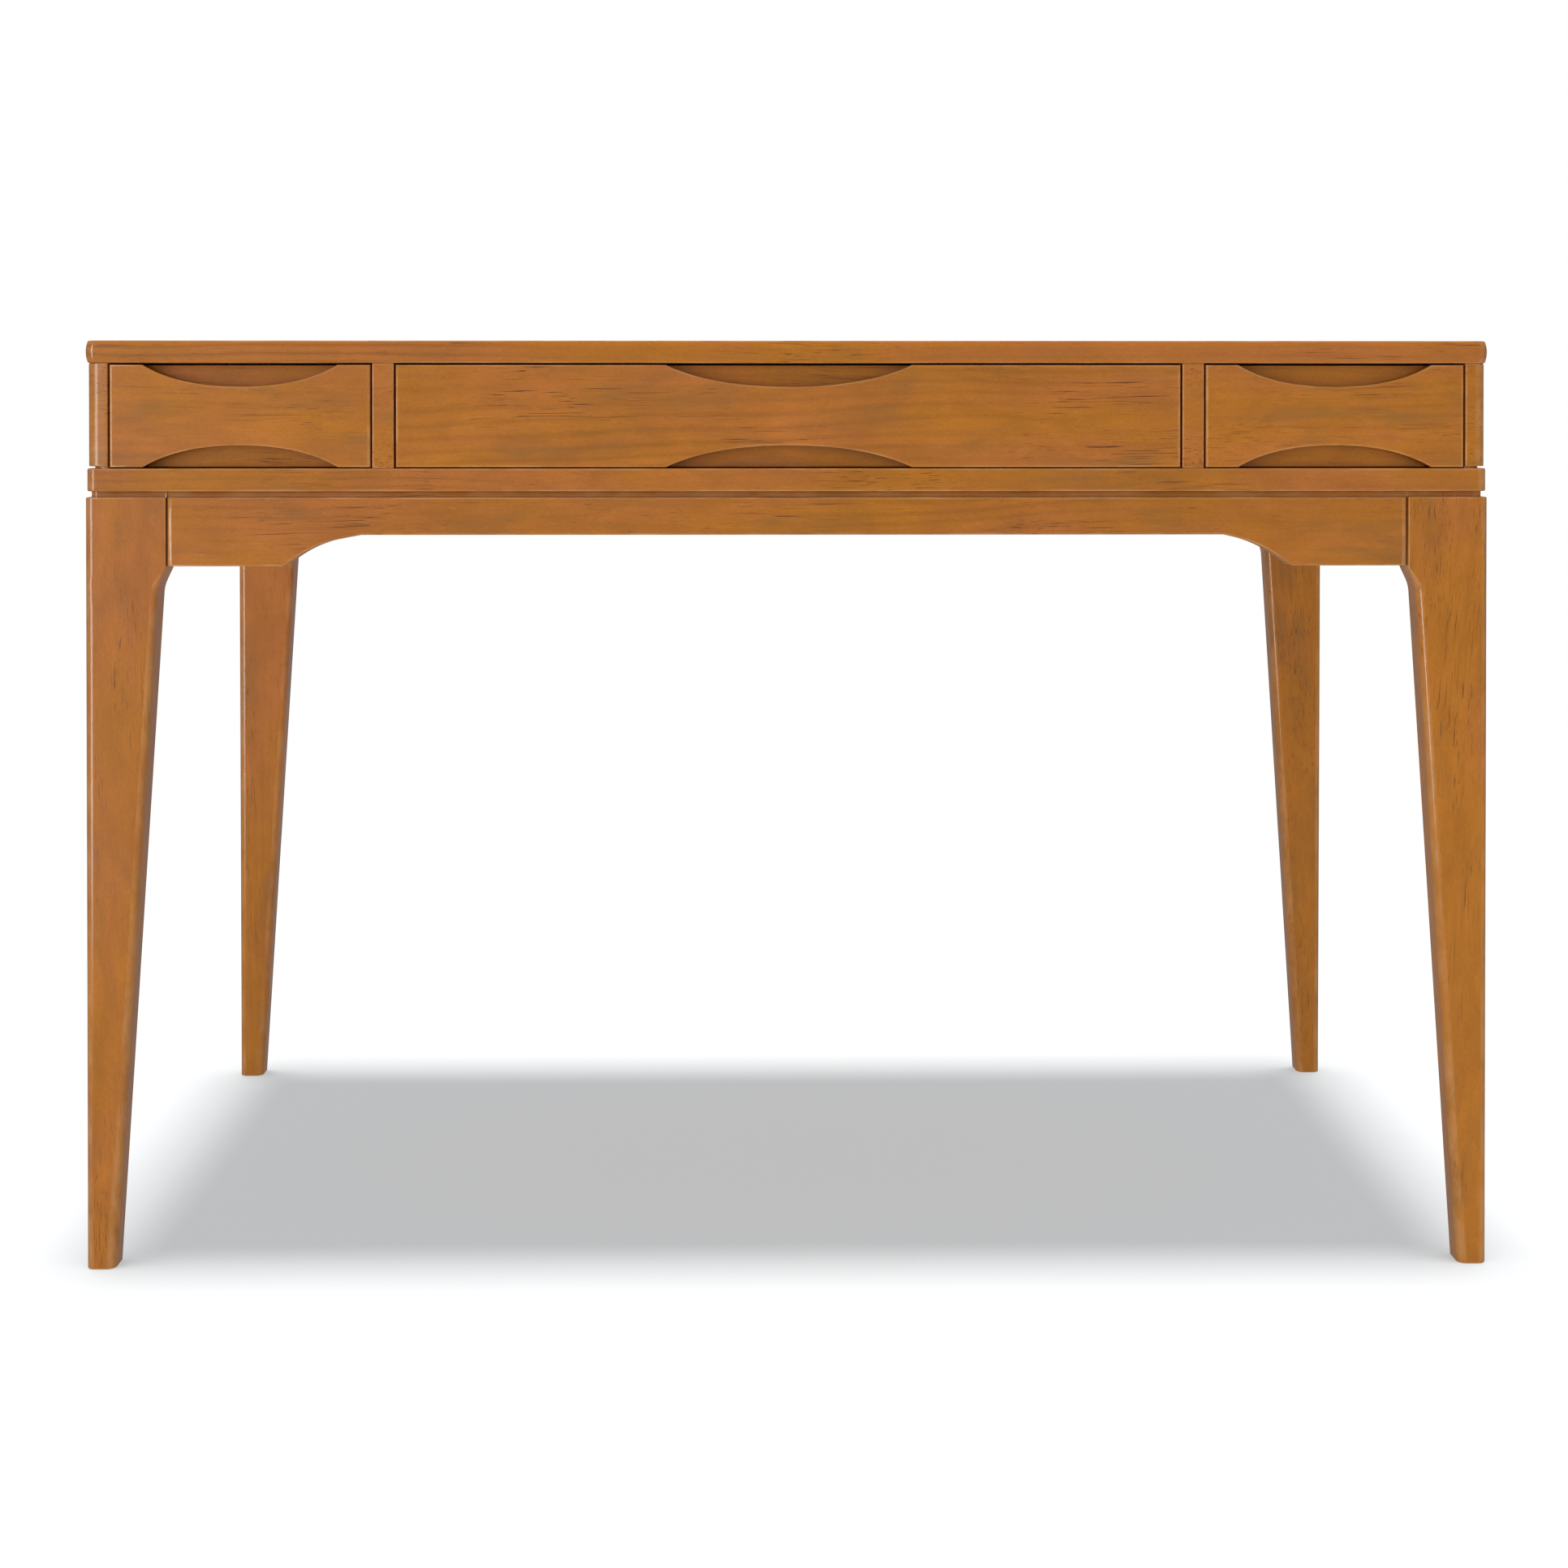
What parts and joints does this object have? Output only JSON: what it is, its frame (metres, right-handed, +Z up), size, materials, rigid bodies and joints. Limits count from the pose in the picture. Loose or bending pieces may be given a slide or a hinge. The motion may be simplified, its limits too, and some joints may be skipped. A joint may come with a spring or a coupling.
{
  "type": "writing desk",
  "caption": "Writing desk with a thin top, a shallow case of scooped-edge drawers on ball-bearing slides, arched aprons and tapered plank legs.",
  "frame": {"origin": "on the floor, under the middle of the desk", "axes": "+X to the right along the desk's width, -Y towards the sitter (the drawers' front), +Z up"},
  "size_m": [1.194, 0.61, 0.789],
  "materials": {
    "stained_pine": "honey-brown stained pine under satin lacquer, fine grain with short dark pores",
    "pale_wood": "plain sanded solid wood of the drawer boxes, clear sealed",
    "plywood": "sanded thin plywood, clear sealed",
    "zinc_steel": "bright zinc-plated rolled steel",
    "dark_steel": "darker oiled steel"
  },
  "bodies": {
    "desk_frame": {"tabletop": "stained_pine", "case_bottom": "stained_pine", "case_back": "stained_pine", "case_side_left": "stained_pine", "case_side_right": "stained_pine", "case_divider_left": "stained_pine", "case_divider_right": "stained_pine", "apron_front": "stained_pine", "apron_rear": "stained_pine", "apron_left": "stained_pine", "apron_right": "stained_pine", "leg_front_left": "stained_pine", "corner_bracket_front_left": "zinc_steel", "leg_bolt_front_left": "dark_steel", "leg_front_right": "stained_pine", "corner_bracket_front_right": "zinc_steel", "leg_bolt_front_right": "dark_steel", "leg_rear_left": "stained_pine", "corner_bracket_rear_left": "zinc_steel", "leg_bolt_rear_left": "dark_steel", "leg_rear_right": "stained_pine", "corner_bracket_rear_right": "zinc_steel", "leg_bolt_rear_right": "dark_steel", "drawer_left_case_rail_left": "zinc_steel", "drawer_left_case_rail_right": "zinc_steel", "drawer_centre_case_rail_left": "zinc_steel", "drawer_centre_case_rail_right": "zinc_steel", "drawer_right_case_rail_left": "zinc_steel", "drawer_right_case_rail_right": "zinc_steel"},
    "drawer_left": {"drawer_left_front": "stained_pine", "drawer_left_box_front": "stained_pine", "drawer_left_box_side_left": "pale_wood", "drawer_left_box_side_right": "pale_wood", "drawer_left_box_back": "pale_wood", "drawer_left_box_bottom": "plywood", "drawer_left_drawer_rail_left": "zinc_steel", "drawer_left_drawer_rail_right": "zinc_steel"},
    "middle_rails_left": {"drawer_left_middle_rail_left": "dark_steel", "drawer_left_middle_rail_right": "dark_steel"},
    "drawer_centre": {"drawer_centre_front": "stained_pine", "drawer_centre_box_front": "stained_pine", "drawer_centre_box_side_left": "pale_wood", "drawer_centre_box_side_right": "pale_wood", "drawer_centre_box_back": "pale_wood", "drawer_centre_box_bottom": "plywood", "drawer_centre_drawer_rail_left": "zinc_steel", "drawer_centre_drawer_rail_right": "zinc_steel"},
    "middle_rails_centre": {"drawer_centre_middle_rail_left": "dark_steel", "drawer_centre_middle_rail_right": "dark_steel"},
    "drawer_right": {"drawer_right_front": "stained_pine", "drawer_right_box_front": "stained_pine", "drawer_right_box_side_left": "pale_wood", "drawer_right_box_side_right": "pale_wood", "drawer_right_box_back": "pale_wood", "drawer_right_box_bottom": "plywood", "drawer_right_drawer_rail_left": "zinc_steel", "drawer_right_drawer_rail_right": "zinc_steel"},
    "middle_rails_right": {"drawer_right_middle_rail_left": "dark_steel", "drawer_right_middle_rail_right": "dark_steel"}
  },
  "joints": [
    {"name": "drawer_left_slide", "type": "slide", "parent": "desk_frame", "child": "drawer_left", "axis": [0, -1, 0], "range_m": [0, 0.4]},
    {"name": "middle_rails_left_slide", "type": "slide", "parent": "desk_frame", "child": "middle_rails_left", "axis": [0, -1, 0], "range_m": [0, 0.2]},
    {"name": "drawer_centre_slide", "type": "slide", "parent": "desk_frame", "child": "drawer_centre", "axis": [0, -1, 0], "range_m": [0, 0.4]},
    {"name": "middle_rails_centre_slide", "type": "slide", "parent": "desk_frame", "child": "middle_rails_centre", "axis": [0, -1, 0], "range_m": [0, 0.2]},
    {"name": "drawer_right_slide", "type": "slide", "parent": "desk_frame", "child": "drawer_right", "axis": [0, -1, 0], "range_m": [0, 0.4]},
    {"name": "middle_rails_right_slide", "type": "slide", "parent": "desk_frame", "child": "middle_rails_right", "axis": [0, -1, 0], "range_m": [0, 0.2]}
  ],
  "couplings": [
    {"joint": "middle_rails_left_slide", "follows": "drawer_left_slide", "ratio": 0.5},
    {"joint": "middle_rails_centre_slide", "follows": "drawer_centre_slide", "ratio": 0.5},
    {"joint": "middle_rails_right_slide", "follows": "drawer_right_slide", "ratio": 0.5}
  ]
}
